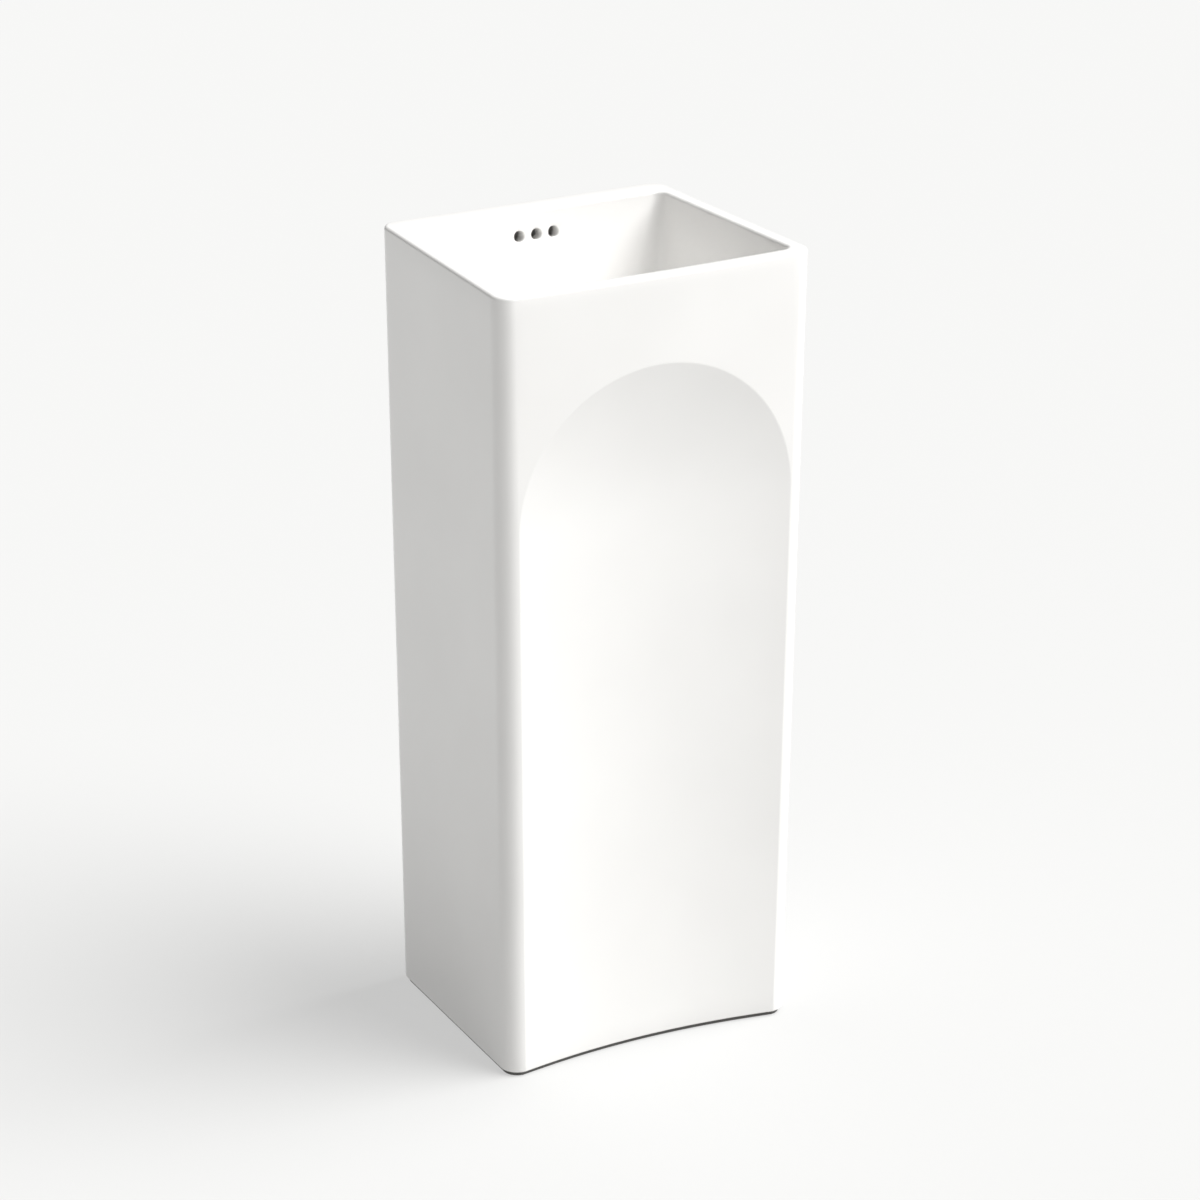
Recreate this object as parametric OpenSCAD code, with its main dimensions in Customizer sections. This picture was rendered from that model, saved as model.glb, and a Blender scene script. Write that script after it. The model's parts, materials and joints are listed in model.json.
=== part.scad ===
// Free-standing column washbasin: one fireclay casting that is basin and pedestal in one,
// with a slotted press-to-close waste, a bottle trap and a floor outlet inside the column.
// Origin: middle of the base on the floor. +Z up, front towards -Y. Millimetres.

/* [Column] */
// Height of the rim above the floor
rim_height = 850; // [700:5:1030]
// Width across the front, at the rim
front_width = 361; // [300:1:440]
// Width across the back, at the rim
back_width = 328; // [270:1:400]
// Depth from front to back, at the rim
depth = 297; // [247:1:360]
// Width across the front, at the base
base_front_width = 339; // [280:1:410]
// Width across the back, at the base
base_back_width = 308; // [255:1:375]
// Depth from front to back, at the base
base_depth = 283; // [235:1:345]
// Radius of the upright outer corners
corner_r = 18; // [12:1:28]
// Outward bow of the front face at its middle
front_bow = 4.5; // [0:0.5:8]
// Thickness of the column walls
wall = 14; // [10:1:20]
// Thickness of the back wall, which carries the cover and the bolts
back_wall = 22; // [18:1:30]
// Height of the gasket that the casting stands on
gasket_h = 4.5; // [3:0.5:8]
// How far the gasket is set back from the outer face
gasket_inset = 4; // [2:0.5:8]

/* [Front arch] */
// Depth of the scoop at the middle line
scoop_depth = 18.5; // [8:0.5:26]
// Face left between the scoop and the outer side
arch_margin = 20; // [19:1:40]
// Height of face between the rim and the top of the arch
arch_drop = 93; // [60:1:160]

/* [Bowl] */
// Thickness of the rim at the front and sides
rim_t = 16.5; // [13:0.5:24]
// Thickness of the rim at the back, over the overflow channel
rim_back_t = 33; // [28:1:45]
// Radius that rounds the rim's edges
rim_round = 4; // [2:0.5:6]
// Depth of the bowl at the waste
bowl_depth = 130; // [105:1:170]
// How far each bowl wall leans in on its way down
bowl_lean = 12; // [4:1:24]
// Radius of the bowl's upright corners at the rim
bowl_corner_r = 11; // [8:1:30]
// Radius between bowl wall and bowl floor
bowl_fillet = 26; // [12:1:36]
// Fall of the bowl floor towards the waste
floor_fall = 6; // [3:0.5:12]
// Thickness of the double floor that holds the lower overflow channel
double_floor = 36; // [32:1:46]

/* [Overflow] */
// Diameter of each overflow hole
overflow_d = 12; // [8:0.5:14]
// Spacing of the overflow holes
overflow_pitch = 20; // [16:0.5:26]
// Number of overflow holes
overflow_count = 3; // [1:1:3]
// Depth of the hole centres below the rim
overflow_drop = 26; // [20:1:40]
// Width of the overflow channel
channel_w = 64; // [54:1:90]
// Depth of the overflow channel
channel_t = 11; // [8:1:14]

/* [Waste] */
// Radius of the waste tail's thread
tail_r = 20.95; // [19:0.05:23]
// Wall of the waste tail
tail_wall = 3; // [2:0.25:4]
// Length of the waste tail below the flange
tail_length = 78; // [70:1:100]
// Radius of the waste flange
flange_r = 32; // [29:0.5:36]
// Radius of the plug cap
cap_r = 30; // [26:0.5:33]
// Travel of the plug between open and pressed down
plug_travel = 9; // [6:0.5:12]
// Radius of the plug stem's guide
stem_r = 5.2; // [4.5:0.1:6.5]
// Running clearance round the stem
stem_fit = 0.05; // [0.02:0.01:0.1]

/* [Trap and outlet] */
// Outer radius of the waste pipe
pipe_r = 16; // [15:0.5:20]
// Wall of the waste pipe
pipe_wall = 1.8; // [1.5:0.1:3]
// Outer radius of the trap body
trap_r = 31; // [28:0.5:36]
// Height of the trap body
trap_h = 58; // [48:1:70]
// Height of the cup under the trap body
cup_h = 60; // [50:1:80]
// Distance from the trap's axis to the floor pipe's axis
outlet_reach = 96; // [88:1:105]
// Bend radius of the outlet
bend_r = 34; // [28:1:40]

/* [Back of the column] */
// Width of the service opening
service_w = 190; // [150:1:210]
// Height of the service opening
service_h = 420; // [300:1:440]
// Height of the service opening's lower edge above the floor
service_z = 150; // [110:1:180]
// Land round the service opening that the cover lies on
cover_land = 18; // [16:1:24]
// Thickness of the cover plate
cover_t = 5; // [4:0.5:6]
// Gap round the cover plate
cover_gap = 1; // [0.5:0.25:2]
// Radius of the cover's corners
cover_corner_r = 22; // [18:1:30]

/* [Floor fixing] */
// Spacing of the two floor brackets
bracket_pitch = 190; // [150:1:200]
// Width of a bracket
bracket_w = 40; // [30:1:50]
// Thickness of the bracket steel
bracket_t = 4; // [3:0.5:6]
// Length of the bracket's foot
foot_length = 62; // [50:1:75]
// Height of the bracket's upright
bracket_h = 84; // [74:1:110]
// Diameter of the floor anchor hole in each bracket
anchor_hole_d = 9; // [6:0.5:12]
// Diameter of the bolts through the back wall
bolt_d = 8; // [6:1:10]
// Height of those bolts above the floor
bolt_z = 58; // [45:1:70]

/* [Hidden] */
$fn = 72;

// How finely the casting's curves are stepped
corner_steps = 5;
front_steps = 14;
round_steps = 4;
arch_steps = 32;
side_steps = 8;
scoop_steps = 6;
eps = 0.01;      // overlap that keeps a cut open
over = 3;        // how far a cut runs past the face it opens

// ---- Levels and places worked out from the driving dimensions ----
bowl_floor = rim_height - bowl_depth;
hollow_top = bowl_floor - double_floor;
recess_depth = 3;                      // waste flange recess in the bowl floor
recess_r = flange_r + 1.5;
drain_flat_r = recess_r + 4;           // flat ring of bowl floor round the recess
drain_r = tail_r + 2;                  // hole in the casting for the waste tail
channel_z = bowl_floor - double_floor / 2;  // middle of the lower overflow channel
channel_h = 10;                        // height of the lower overflow channel

// A plan outline is [half front width, half back width, front y, back y, corner radius].
function mix(a, b, t) = a + (b - a) * t;
top_plan = [front_width / 2, back_width / 2, -depth / 2 + front_bow, depth / 2, corner_r];
base_plan = [base_front_width / 2, base_back_width / 2, -base_depth / 2 + front_bow,
             base_depth / 2, corner_r];
function outer(z) = mix(base_plan, top_plan, (z - gasket_h) / (rim_height - gasket_h));
function side_lean(s) = atan2(s[0] - s[1], s[3] - s[2]);
function inset(s, i) = let (a = side_lean(s)) [
  s[0] - i * (1 + sin(a)) / cos(a), s[1] - i * (1 - sin(a)) / cos(a),
  s[2] + i, s[3] - i, max(s[4] - i, 2)
];
function with_front(s, y) = [mix(s[0], s[1], (y - s[2]) / (s[3] - s[2])), s[1], y, s[3], s[4]];
function with_back(s, y) = [s[0], mix(s[0], s[1], (y - s[2]) / (s[3] - s[2])), s[2], y, s[4]];
function with_radius(s, r) = [s[0], s[1], s[2], s[3], r];

// Inside of the column, behind the deepest line of the scoop
function hollow(z) = let (o = outer(z))
  with_radius(with_back(with_front(inset(o, wall), o[2] + scoop_depth + wall),
                        o[3] - back_wall), corner_r);

bowl_top = with_radius(with_back(inset(top_plan, rim_t), top_plan[3] - rim_back_t), bowl_corner_r);
bowl_low = with_radius(inset(bowl_top, bowl_lean), bowl_fillet);
drain_y = (bowl_low[2] + bowl_low[3]) / 2;
bowl_back_y = bowl_top[3];
channel_y = bowl_back_y + (rim_back_t - channel_t) / 2;   // front of the overflow channel

// Scoop: straight sides up to the spring line, then a half circle
half_base = base_plan[0];
flare = (top_plan[0] - base_plan[0]) / (rim_height - gasket_h);  // gain in half width per mm of height
arch_top = rim_height - arch_drop;
arch_r = (half_base - arch_margin + flare * (arch_top - gasket_h)) / (1 + flare);
arch_spring = arch_top - arch_r;
function half_at(z) = outer(z)[0];
function scoop_half(z) = half_at(z) - arch_margin;
function face_y(x, z) = outer(z)[2] - front_bow * (1 - pow(x / half_at(z), 2));
function scoop_reach(x, z) = z > arch_spring
  ? norm([x, z - arch_spring]) / arch_r
  : abs(x) / scoop_half(z);
function scoop_y(x, z) = face_y(x, z) + scoop_depth * (1 - pow(scoop_reach(x, z), 2));

// ---- Shape tools ----
function arc_points(c, r, from, to) = [for (i = [0:corner_steps])
  let (a = mix(from, to, i / corner_steps)) c + r * [cos(a), sin(a)]];
function outline(s, bow) = let (
  a = side_lean(s), r = s[4],
  fx = s[0] - r * (1 + sin(a)) / cos(a), bx = s[1] - r * (1 - sin(a)) / cos(a),
  fy = s[2] + r, by = s[3] - r,
  flat = concat(
    [for (i = [1:front_steps - 1]) [mix(-fx, fx, i / front_steps), s[2]]],
    arc_points([fx, fy], r, -90, a), arc_points([bx, by], r, a, 90),
    arc_points([-bx, by], r, 90, 180 - a), arc_points([-fx, fy], r, 180 - a, 270)))
  [for (p = flat) p[1] < fy ? [p[0], p[1] - bow * (1 - pow(p[0] / s[0], 2))] : p];
function raise(points, z) = [for (p = points) [p[0], p[1], z]];

// Skins a stack of closed rings that all have the same number of points
module loft(rings) {
  n = len(rings[0]);
  top = (len(rings) - 1) * n;
  polyhedron(
    points = [for (ring = rings) each ring],
    faces = concat(
      [[for (i = [0:n - 1]) i]],
      [for (k = [0:len(rings) - 2], i = [0:n - 1])
        [k * n + i, (k + 1) * n + i, (k + 1) * n + (i + 1) % n]],
      [for (k = [0:len(rings) - 2], i = [0:n - 1])
        [k * n + i, (k + 1) * n + (i + 1) % n, k * n + (i + 1) % n]],
      [[for (i = [n - 1:-1:0]) top + i]]));
}

module tube(outer_r, inner_r, h) {
  difference() {
    cylinder(r = outer_r, h = h);
    translate([0, 0, -over]) cylinder(r = inner_r, h = h + 2 * over);
  }
}

module rounded_rect(w, h, r) {
  translate([r, 0]) square([w - 2 * r, h]);
  translate([0, r]) square([w, h - 2 * r]);
  for (x = [r, w - r], y = [r, h - r]) translate([x, y]) circle(r = r);
}

// Plate upright on the back face, w by h, reaching t out from local y = 0
module back_plate(w, h, r, t) {
  translate([-w / 2, t, 0]) rotate([90, 0, 0]) linear_extrude(t) rounded_rect(w, h, r);
}

// ---- Casting ----
module outer_skin() {
  loft(concat(
    [raise(outline(base_plan, front_bow), gasket_h)],
    [for (k = [0:round_steps]) let (a = 90 * k / round_steps, z = rim_height - rim_round * (1 - sin(a)))
      raise(outline(inset(outer(z), rim_round * (1 - cos(a))), front_bow), z)]));
}

module bowl_space() {
  edge_z = bowl_floor + floor_fall;
  floor_ring = outline(inset(bowl_low, bowl_fillet * (1 - eps)), 0);
  loft(concat(
    [[for (p = floor_ring) let (d = p - [0, drain_y])
      [drain_flat_r * d[0] / norm(d), drain_y + drain_flat_r * d[1] / norm(d), bowl_floor]]],
    [for (k = [round_steps:-1:0]) let (a = 90 * k / round_steps)
      raise(outline(inset(bowl_low, bowl_fillet * (1 - cos(a)) * (1 - eps)), 0),
            edge_z + bowl_fillet * (1 - sin(a)))],
    [for (k = [0:round_steps]) let (a = 90 * k / round_steps)
      raise(outline(inset(bowl_top, -rim_round * (1 - cos(a))), front_bow),
            rim_height - rim_round * (1 - sin(a)))],
    [raise(outline(inset(bowl_top, -rim_round), front_bow), rim_height + over)]));
}

module column_space() {
  loft([raise(outline(hollow(gasket_h - over), 0), gasket_h - over),
        raise(outline(hollow(hollow_top), 0), hollow_top)]);
}

// Outline of the arch in the XZ plane, from the lower left round to the lower right
module scoop_space() {
  foot = gasket_h - 2 * over;
  edge = concat(
    [for (i = [0:side_steps - 1]) let (z = mix(foot, arch_spring, i / side_steps)) [scoop_half(z), z]],
    [for (i = [0:arch_steps]) let (a = 180 * i / arch_steps)
      [arch_r * cos(a), arch_spring + arch_r * sin(a)]],
    [for (i = [side_steps - 1:-1:0]) let (z = mix(foot, arch_spring, i / side_steps)) [-scoop_half(z), z]],
    [for (i = [1:side_steps - 1]) [mix(-1, 1, i / side_steps) * scoop_half(foot), foot]]);
  function ring(t) = [for (p = edge) let (x = t * p[0], z = mix(arch_spring, p[1], t)) [x, scoop_y(x, z), z]];
  past = 1.05;
  front_y = -depth / 2 - 20;
  loft(concat(
    [for (j = [0:scoop_steps]) ring(max(j / scoop_steps, 0.02))],
    [ring(past)],
    [[for (p = ring(past)) [p[0], front_y, p[2]]]]));
}

module overflow_space() {
  upper = rim_height - overflow_drop + overflow_d / 2 + 2;
  lower = channel_z - channel_h / 2;
  translate([-channel_w / 2, channel_y, lower]) cube([channel_w, channel_t, upper - lower]);
  translate([-channel_w / 2, drain_y, lower]) cube([channel_w, channel_y - drain_y + over, channel_h]);
  for (i = [0:overflow_count - 1])
    translate([(i - (overflow_count - 1) / 2) * overflow_pitch, bowl_back_y - bowl_lean - over,
               rim_height - overflow_drop])
      rotate([-90, 0, 0]) cylinder(d = overflow_d, h = channel_y - bowl_back_y + bowl_lean + 2 * over);
}

// Local frame on the back face: x across, y out of the face, z up it
back_lean = atan2((depth - base_depth) / 2, rim_height - gasket_h);
module on_back() {
  translate([0, base_depth / 2, gasket_h]) rotate([-back_lean, 0, 0]) children();
}
plate_w = service_w + 2 * cover_land;
plate_h = service_h + 2 * cover_land;
plate_z = service_z - cover_land - gasket_h;
screw_x = plate_w / 2 - cover_land / 2;
screw_places = [for (x = [-screw_x, screw_x],
                     z = [plate_z + plate_h / 4, plate_z + plate_h * 3 / 4]) [x, z]];
insert_r = 4;

module service_space() {
  on_back() {
    translate([0, -back_wall - over, service_z - gasket_h])
      back_plate(service_w, service_h, cover_corner_r - cover_land / 2, back_wall + 2 * over);
    translate([0, -cover_t, plate_z - cover_gap])
      back_plate(plate_w + 2 * cover_gap, plate_h + 2 * cover_gap, cover_corner_r, cover_t + over);
    for (p = screw_places)
      translate([p[0], -cover_t + over, p[1]]) rotate([90, 0, 0])
        cylinder(r = insert_r, h = back_wall + 2 * over);
  }
}

// Bolts run straight back through the wall at two places
bush_r = bolt_d / 2 + 2.5;
bolt_face_y = outer(bolt_z)[3];
bolt_inner_y = hollow(bolt_z)[3];
module at_bolts() {
  for (x = [-bracket_pitch / 2, bracket_pitch / 2]) translate([x, 0, bolt_z]) children();
}

// The smooth surfaces become one mesh here, at its own size, before the true holes are cut
module smooth_shell() resize([0, 0, 0]) difference() {
  outer_skin();
  bowl_space();
  column_space();
  scoop_space();
}

module ceramic_body() color("#f4f3f1") difference() {
  smooth_shell();
  overflow_space();
  translate([0, drain_y, bowl_floor - recess_depth]) cylinder(r = recess_r, h = recess_depth + over);
  translate([0, drain_y, hollow_top - over]) cylinder(r = drain_r, h = double_floor + 2 * over);
  service_space();
  at_bolts() translate([0, bolt_inner_y - over, 0]) rotate([-90, 0, 0])
    cylinder(r = bush_r + 0.3, h = back_wall + 3 * over);
}

// ---- Base gasket ----
// Base outline with the scoop's line in its front, set back by i
function base_outline(i) = [for (p = outline(inset(base_plan, i), front_bow))
  abs(p[0]) < scoop_half(gasket_h) && p[1] < 0
    ? [p[0], max(p[1], scoop_y(p[0], gasket_h) + i)] : p];
module base_gasket() color("#8b8a87") difference() {
  linear_extrude(gasket_h) polygon(base_outline(gasket_inset));
  translate([0, 0, -over]) linear_extrude(gasket_h + 2 * over)
    polygon(outline(inset(hollow(gasket_h), 1), 0));
}

// ---- Rear access cover ----
rib_t = 3;
rib_count = 3;
rib_h = 6;                              // height of the ribs behind the plate
locator_h = 9;                          // how far the locating frame stands into the opening
locator_w = service_w - 2 * cover_gap;
locator_l = service_h - 2 * cover_gap;
locator_r = cover_corner_r - cover_land / 2 - cover_gap;
screw_r = 1.6;                          // cover screw's thread
screw_neck_r = 2.1;
screw_head_r = 4.5;
screw_head_h = 2.4;
screw_gap = 0.3;                        // clearance of the screw's neck in the cover
module access_cover() color("#f1f0ee") on_back() difference() {
  union() {
    translate([0, -cover_t, plate_z])
      back_plate(plate_w, plate_h, cover_corner_r - cover_gap, cover_t);
    // Frame that locates the cover in the opening
    translate([0, -cover_t - locator_h, service_z - gasket_h + cover_gap]) difference() {
      back_plate(locator_w, locator_l, locator_r, locator_h + eps);
      translate([0, -over, rib_t])
        back_plate(locator_w - 2 * rib_t, locator_l - 2 * rib_t, locator_r - rib_t, locator_h + over);
    }
    for (k = [1:rib_count])
      translate([-locator_w / 2 + eps, -cover_t - rib_h,
                 service_z - gasket_h + service_h * k / (rib_count + 1)])
        cube([locator_w - 2 * eps, rib_h + eps, rib_t]);
  }
  for (p = screw_places) translate([p[0], over, p[1]]) rotate([90, 0, 0])
    cylinder(r = screw_neck_r + screw_gap, h = cover_t + 2 * over);
  // Countersinks for the screw heads
  for (p = screw_places) translate([p[0], eps, p[1]]) rotate([90, 0, 0])
    cylinder(r1 = screw_head_r + 0.2, r2 = screw_neck_r + screw_gap, h = screw_head_h);
}

barb_h = 3.5;                           // flared end of an insert, behind the wall
barb_out = 1.6;
module cover_inserts() color("#d9d8d2") on_back() for (p = screw_places)
  translate([p[0], -cover_t - 0.2, p[1]]) rotate([90, 0, 0]) difference() {
    union() {
      translate([0, 0, back_wall - cover_t])
        cylinder(r1 = insert_r + barb_out, r2 = insert_r - 0.5, h = barb_h);
      cylinder(r = insert_r - 0.1, h = back_wall - cover_t + 1);
    }
    translate([0, 0, -over]) cylinder(r = screw_r, h = back_wall + 2 * over);
  }

slot_l = 4.4;                           // cross slot in a screw's head
slot_w = 0.9;
slot_h = 1.4;
module cover_screws() color("#c9cacc") on_back() for (p = screw_places)
  translate([p[0], -0.1, p[1]]) rotate([90, 0, 0]) difference() {
    union() {
      cylinder(r1 = screw_head_r, r2 = screw_neck_r, h = screw_head_h);
      cylinder(r = screw_r, h = back_wall);
      cylinder(r = screw_neck_r, h = cover_t);
    }
    translate([0, 0, -eps]) for (a = [0, 90]) rotate([0, 0, a])
      translate([-slot_l / 2, -slot_w / 2, 0]) cube([slot_l, slot_w, slot_h]);
  }

// ---- Waste, hung from the bowl floor at the drain ----
flange_z = bowl_floor - recess_depth;   // floor of the recess
seal_t = 1.5;
flange_t = 2.6;
tail_in = tail_r - tail_wall;
dish_r = tail_in + 6;                   // rim of the flange's dish, where the plug's seal lands
hub_z = -26;                            // top of the cross bar, from the flange's underside
hub_h = 5;
cartridge_r = 7.5;
washer_t = 4;
slip_t = 1.5;
backnut_h = 9;
bar_t = 3.5;                            // thickness of the cross bar's arms
tail_slot_w = 13;                       // slots in the tail for the overflow water
tail_slot_h = 10;
thread_gap = 0.05;                      // clearance left in every thread and squeezed washer
module at_drain(z) { translate([0, drain_y, z]) children(); }
under_z = hollow_top - washer_t;
seat_z = flange_z + seal_t;             // underside of the flange

module waste_flange() color("#c8cacb") at_drain(seat_z) difference() {
  union() {
    // Flange with a dished seat for the plug's seal
    rotate_extrude() polygon([
      [tail_in, -2], [tail_r, -2], [tail_r, 0], [flange_r - 1, 0], [flange_r, 0.9],
      [flange_r - 0.4, 1.7], [flange_r - 2.2, flange_t], [dish_r, flange_t - 0.5], [tail_in, -1]
    ]);
    difference() {
      translate([0, 0, -tail_length]) cylinder(r = tail_r, h = tail_length + 0.5);
      translate([0, 0, -tail_length - over]) cylinder(r = tail_in, h = tail_length + 3 * over);
    }
    // Cross bar that carries the plug's cartridge
    intersection() {
      union() {
        for (a = [0, 90]) rotate([0, 0, a]) translate([-tail_r, -bar_t / 2, hub_z - hub_h])
          cube([2 * tail_r, bar_t, hub_h]);
        translate([0, 0, hub_z - hub_h]) cylinder(r = cartridge_r + 1.5, h = hub_h);
      }
      translate([0, 0, hub_z - hub_h - 1]) cylinder(r = tail_in + 1, h = hub_h + 2);
    }
  }
  translate([0, 0, hub_z - hub_h - over]) cylinder(r = cartridge_r - 0.5, h = hub_h + 2 * over);
  // Slots that take the overflow water
  for (a = [45:90:315]) rotate([0, 0, a])
    translate([tail_in - 2, -tail_slot_w / 2, channel_z - seat_z - tail_slot_h / 2])
      cube([tail_wall + 4, tail_slot_w, tail_slot_h]);
}

module flange_seal() color("#3b3b3c") at_drain(flange_z) tube(flange_r - 1.5, drain_r, seal_t);

// Cartridge: a sleeve with a shoulder on the cross bar and a guided bore
cartridge_top = 6;
cartridge_h = 35;
bore_r = stem_r + stem_fit;
foot_r = 2.5;                           // stem below the guide
foot_gap = 0.1;                         // clearance round that part of the stem
foot_t = 3;
module plug_cartridge() color("#d8d6cf") at_drain(seat_z + hub_z) difference() {
  union() {
    cylinder(r = cartridge_r + 1.2, h = cartridge_top, $fn = 6);
    translate([0, 0, cartridge_top - cartridge_h]) cylinder(r = cartridge_r - 0.55, h = cartridge_h - 1);
  }
  translate([0, 0, cartridge_top - cartridge_h + foot_t]) cylinder(r = bore_r, h = cartridge_h);
  translate([0, 0, cartridge_top - cartridge_h - over])
    cylinder(r = foot_r + foot_gap, h = foot_t + 2 * over);
}
cartridge_foot = seat_z + hub_z + cartridge_top - cartridge_h;   // underside of the cartridge

// The plug is modelled open, its travel above the closed place
closed_z = seat_z + flange_t + 1.3;     // underside of the cap when pressed down
open_z = closed_z + plug_travel;
cap_h = 5;
cap_edge = 2.2;                         // height of the cap's domed part
boss_r = tail_in + 2;                   // boss under the cap, inside the seal
boss_h = 2;
clip_t = 1;
clip_r = 4.6;
groove_r = 2.1;                         // groove in the stem that the clip sits in
clip_gap = 0.1;
clip_z = cartridge_foot - clip_t - clip_gap;   // the clip stops the plug at its open place
stem_tip = 2.5;                         // stem below the clip
guide_bottom = seat_z + hub_z - 8;      // end of the stem's guide when open
module plug_cap() color("#c8cacb") {
  at_drain(open_z) rotate_extrude() polygon(concat(
    [[0, -boss_h], [boss_r, -boss_h], [boss_r, 0], [cap_r - 0.8, 0], [cap_r, 0.8]],
    [for (a = [0:15:90]) [cap_r * cos(a), cap_h - cap_edge + cap_edge * sin(a)]]));
  at_drain(guide_bottom) cylinder(r = stem_r, h = open_z - boss_h - guide_bottom + 1);
  at_drain(clip_z) difference() {
    translate([0, 0, -stem_tip]) cylinder(r = foot_r, h = guide_bottom - clip_z + stem_tip + 1);
    translate([0, 0, -clip_gap]) tube(foot_r + 1, groove_r, clip_t + 2 * clip_gap);
  }
}
seal_wire_r = 1.25;
module plug_seal() color("#2f3031") at_drain(open_z - seal_wire_r - clip_gap)
  rotate_extrude() translate([boss_r + seal_wire_r + clip_gap, 0]) circle(r = seal_wire_r);
module stem_clip() color("#9a9c9e") at_drain(clip_z) difference() {
  cylinder(r = clip_r, h = clip_t);
  translate([0, 0, -over]) cylinder(r = groove_r + clip_gap, h = clip_t + 2 * over);
  translate([0, -0.75 * groove_r, -over]) cube([clip_r + over, 1.5 * groove_r, clip_t + 2 * over]);
}

// Spring: round wire wound round the stem between the cartridge's foot and the guide
spring_r = 3.9;
spring_wire_r = 0.5;
spring_turns = 5;
spring_low = cartridge_foot + foot_t + spring_wire_r;
spring_high = guide_bottom - spring_wire_r;
spring_step = 24;
function coil_point(i, b) = let (a = i * spring_step, r = spring_r + spring_wire_r * cos(b))
  [r * cos(a), r * sin(a),
   mix(spring_low, spring_high, i / (spring_turns * 360 / spring_step)) + spring_wire_r * sin(b)];
module plug_spring() color("#b9babc") at_drain(0)
  loft([for (i = [0:spring_turns * 360 / spring_step]) [for (b = [0:60:300]) coil_point(i, -b)]]);

module under_washer() color("#3b3b3c") at_drain(under_z) tube(flange_r, tail_r + 0.3, washer_t);
module slip_washer() color("#e6e3da") at_drain(under_z - slip_t) tube(flange_r - 1, tail_r + 0.3, slip_t);
module waste_backnut() color("#c9a85c") at_drain(under_z - slip_t - backnut_h) difference() {
  union() {
    cylinder(r = tail_r + 11, h = backnut_h - 2, $fn = 6);
    cylinder(r = tail_r + 6, h = backnut_h);
  }
  translate([0, 0, -over]) cylinder(r = tail_r + thread_gap, h = backnut_h + 2 * over);
}

// ---- Bottle trap ----
tail_end = seat_z - tail_length;
nut_lip = 4;
nut_wall = 4;
collar_t = 3;
inlet_nut_h = 26;
cap_nut_h = 22;                         // the nuts on the trap's neck and spigot
inlet_washer_h = 2;
top_washer_h = 4;
outlet_washer_h = 3;
cone_in = 1.6;                          // how far a cone washer stands inside its thread
pipe_fit = 0.4;                         // clearance round a pipe where a nut or the neck passes it
socket_fit = 0.2;                       // clearance round a pipe in its socket
dip_length = 132;
trap_top = tail_end - 44;               // top of the trap body's neck
neck_h = 16;
body_top = trap_top - neck_h;
body_low = body_top - trap_h;
skirt_h = 16;
skirt_r = trap_r - 3;
skirt_wall = 3;
outlet_z = body_top - 24;               // axis of the side spigot
neck_r = 21;
roof_t = 4;                             // thickness of the trap body's roof
stub_h = 8;                             // how far the bend's end goes into the spigot
spigot_x = trap_r + 22;                 // end of the trap's side spigot
// A nut with a thread of radius thread_r, round a pipe, and finger ribs outside
module grip_nut(thread_r, h) {
  r = thread_r + nut_wall;
  difference() {
    union() {
      cylinder(r = r, h = h);
      for (a = [0:30:330]) rotate([0, 0, a]) translate([r - 1.6, 0, 0]) cylinder(r = 2.4, h = h - 2);
    }
    translate([0, 0, nut_lip]) cylinder(r = thread_r + thread_gap, h = h);
    translate([0, 0, -over]) cylinder(r = pipe_r + pipe_fit, h = h);
  }
}
module trap_inlet_washer() color("#3b3b3c") at_drain(tail_end - inlet_washer_h)
  tube(tail_r - 0.5, pipe_r + pipe_fit, inlet_washer_h);
module trap_dip_tube() color("#e9e8e4") at_drain(tail_end - inlet_washer_h - collar_t) difference() {
  union() {
    cylinder(r = tail_r - 0.5, h = collar_t);
    translate([0, 0, -dip_length]) cylinder(r = pipe_r, h = dip_length + collar_t);
  }
  translate([0, 0, -dip_length - over]) cylinder(r = pipe_r - pipe_wall, h = dip_length + 3 * over);
}
module trap_inlet_nut() color("#f0efec") at_drain(tail_end - inlet_washer_h - collar_t - nut_lip)
  grip_nut(tail_r, inlet_nut_h);
module trap_top_washer() color("#3b3b3c") at_drain(trap_top)
  tube(neck_r - cone_in, pipe_r + thread_gap, top_washer_h);
module trap_top_nut() color("#f0efec") at_drain(trap_top + top_washer_h + nut_lip)
  mirror([0, 0, 1]) grip_nut(neck_r, cap_nut_h);

module trap_body() color("#e9e8e4") at_drain(0) difference() {
  union() {
    translate([0, 0, body_top - 1]) cylinder(r = neck_r, h = neck_h + 1);
    translate([0, 0, body_low]) cylinder(r = trap_r, h = trap_h);
    translate([0, 0, body_low - skirt_h]) cylinder(r = skirt_r, h = skirt_h + 1);
    translate([0, 0, outlet_z]) rotate([0, 90, 0]) cylinder(r = neck_r, h = spigot_x);
  }
  translate([0, 0, body_top - roof_t - 1])
    cylinder(r = pipe_r + pipe_fit, h = neck_h + roof_t + over);
  translate([0, 0, body_low - skirt_h - over])
    cylinder(r = skirt_r - skirt_wall, h = skirt_h + trap_h - roof_t + over);
  translate([pipe_r + 4, 0, outlet_z]) rotate([0, 90, 0])
    cylinder(r = pipe_r - pipe_wall, h = spigot_x);
  translate([spigot_x - stub_h - 1, 0, outlet_z]) rotate([0, 90, 0])
    cylinder(r = pipe_r + socket_fit, h = stub_h + 2 * over);
}
cup_fit = 0.3;
cup_r = trap_r + 3;
seal_h = 3;
cup_top = body_low - 1;
cup_foot_h = 6;                         // height of the cup's tapered foot
cup_foot_in = 7;                        // how far the foot narrows
cup_floor_t = 4;
cup_low = cup_top - cup_h;
ledge_z = body_low - skirt_h - seal_h;  // ledge in the cup that the seal lies on
module trap_cup_seal() color("#3b3b3c") at_drain(ledge_z)
  tube(skirt_r - 0.2, skirt_r - skirt_wall - 0.2, seal_h);
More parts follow.
